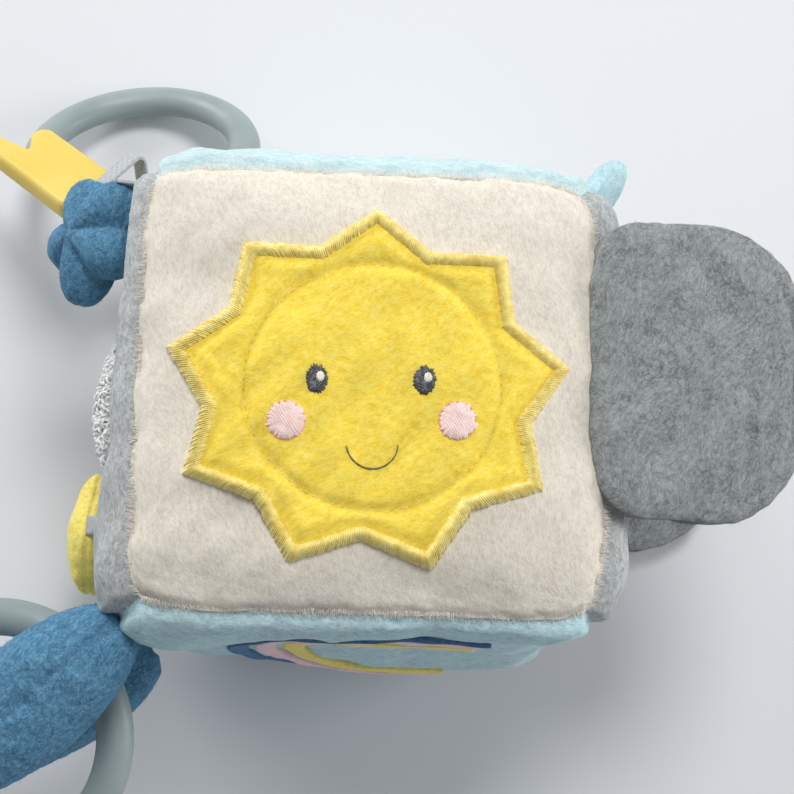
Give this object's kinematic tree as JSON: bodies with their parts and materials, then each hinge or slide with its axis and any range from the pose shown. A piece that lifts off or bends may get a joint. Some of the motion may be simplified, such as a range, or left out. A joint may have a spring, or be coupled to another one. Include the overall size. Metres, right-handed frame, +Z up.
{
  "type": "soft activity block",
  "caption": "Stuffed plush cube for a baby with a sun, a rainbow and a cloud sewn on, two plush ears, a stuffed tab, and rings and soft charms that hang from its seams.",
  "frame": {"origin": "on the floor, in the middle of the flat on which the block stands", "axes": "+Z up through the sun face, -Y out of the rainbow face, +X out of the side with the ears, -X out of the cloud face"},
  "size_m": [0.2244, 0.2269, 0.1253],
  "materials": {
    "cream_plush": "matte",
    "pale_blue_plush": "matte",
    "grey_plush": "matte",
    "yellow_plush": "matte",
    "yellow_thread": "satin",
    "charcoal_thread": "satin",
    "white_thread": "satin",
    "pink_thread": "satin",
    "blue_thread": "satin",
    "white_boucle": "matte",
    "blue_plush": "matte",
    "filling": "matte",
    "webbing": "matte",
    "ring_plastic": "satin",
    "teether_rubber": "satin"
  },
  "bodies": {
    "soft_block": {"stuffing_core": "filling", "bottom_panel": "cream_plush", "sun_panel": "cream_plush", "front_panel": "pale_blue_plush", "back_panel": "pale_blue_plush", "left_panel": "grey_plush", "right_panel": "grey_plush", "sun_applique": "yellow_plush", "sun_border": "yellow_thread", "eye_left": "charcoal_thread", "eye_right": "charcoal_thread", "glint_left": "white_thread", "glint_right": "white_thread", "cheek_left": "pink_thread", "cheek_right": "pink_thread", "smile": "charcoal_thread", "rainbow_outer_band": "blue_thread", "rainbow_middle_band": "pink_thread", "rainbow_inner_band": "yellow_thread", "cloud_cover": "white_boucle", "cloud_wadding": "filling", "tab_right_cover": "pale_blue_plush", "tab_left_cover": "pale_blue_plush", "tab_wadding": "filling"},
    "upper_ear": {"upper_ear_upper_cover": "grey_plush", "upper_ear_under_cover": "grey_plush", "upper_ear_wadding": "filling"},
    "lower_ear": {"lower_ear_upper_cover": "grey_plush", "lower_ear_under_cover": "grey_plush", "lower_ear_wadding": "filling"},
    "back_ring": {"back_ring": "ring_plastic", "back_ring_loop": "webbing"},
    "lightning_teether": {"lightning_teether": "teether_rubber", "teether_tie": "webbing"},
    "plush_star": {"plush_star_upper_cover": "blue_plush", "plush_star_under_cover": "blue_plush", "plush_star_wadding": "filling", "plush_star_ribbon": "webbing"},
    "front_ring": {"front_ring": "ring_plastic", "front_ring_loop": "webbing"},
    "soft_charm": {"upper_lobe_back_cover": "blue_plush", "upper_lobe_front_cover": "blue_plush", "upper_lobe_wadding": "filling", "lower_lobe_back_cover": "blue_plush", "lower_lobe_front_cover": "blue_plush", "lower_lobe_wadding": "filling", "lobe_join": "blue_plush"},
    "moon": {"moon_outer_cover": "yellow_plush", "moon_inner_cover": "yellow_plush", "moon_wadding": "filling", "moon_ribbon": "webbing"},
    "drop": {"drop_outer_cover": "blue_plush", "drop_inner_cover": "blue_plush", "drop_ribbon": "webbing"}
  },
  "joints": [
    {"name": "upper_ear_fold", "type": "hinge", "parent": "soft_block", "child": "upper_ear", "pos_m": [0.0482, 0.009, 0.1164], "axis": [0.0523, -0.9986, 0], "range_deg": [-4, 75], "stiffness_Nm_per_rad": 0.012, "springref_deg": 6.3},
    {"name": "lower_ear_fold", "type": "hinge", "parent": "soft_block", "child": "lower_ear", "pos_m": [0.05237, 0.0135, 0.00813], "axis": [0, -1, 0], "range_deg": [0, 16]},
    {"name": "back_ring_swing", "type": "hinge", "parent": "soft_block", "child": "back_ring", "pos_m": [-0.05264, 0.05264, 0.043], "axis": [0.9304, 0.3665, 0], "range_deg": [0, 20]},
    {"name": "teether_slide", "type": "hinge", "parent": "back_ring", "child": "lightning_teether", "pos_m": [-0.06706, 0.08027, 0.02421], "axis": [-0.1146, 0.65, 0.7513], "range_deg": [-75, 0]},
    {"name": "plush_star_swing", "type": "hinge", "parent": "soft_block", "child": "plush_star", "pos_m": [-0.05375, 0.05127, 0.08792], "axis": [0.0436, 0.999, 0], "range_deg": [0, 30]},
    {"name": "front_ring_swing", "type": "hinge", "parent": "soft_block", "child": "front_ring", "pos_m": [-0.05194, -0.05334, 0.076], "axis": [-0.7242, 0.6896, 0], "range_deg": [-6, 4], "stiffness_Nm_per_rad": 0.157, "springref_deg": 3.44},
    {"name": "soft_charm_slide", "type": "hinge", "parent": "front_ring", "child": "soft_charm", "pos_m": [-0.08298, -0.08593, 0.07189], "axis": [-0.096, -0.1008, 0.9903], "range_deg": [-150, 0]},
    {"name": "moon_swing", "type": "hinge", "parent": "soft_block", "child": "moon", "pos_m": [-0.0615, -0.031, 0.065], "axis": [1, 0, 0], "range_deg": [-30, 30]},
    {"name": "drop_swing", "type": "hinge", "parent": "soft_block", "child": "drop", "pos_m": [-0.059, -0.047, 0.033], "axis": [1, 0, 0], "range_deg": [-30, 12]}
  ]
}
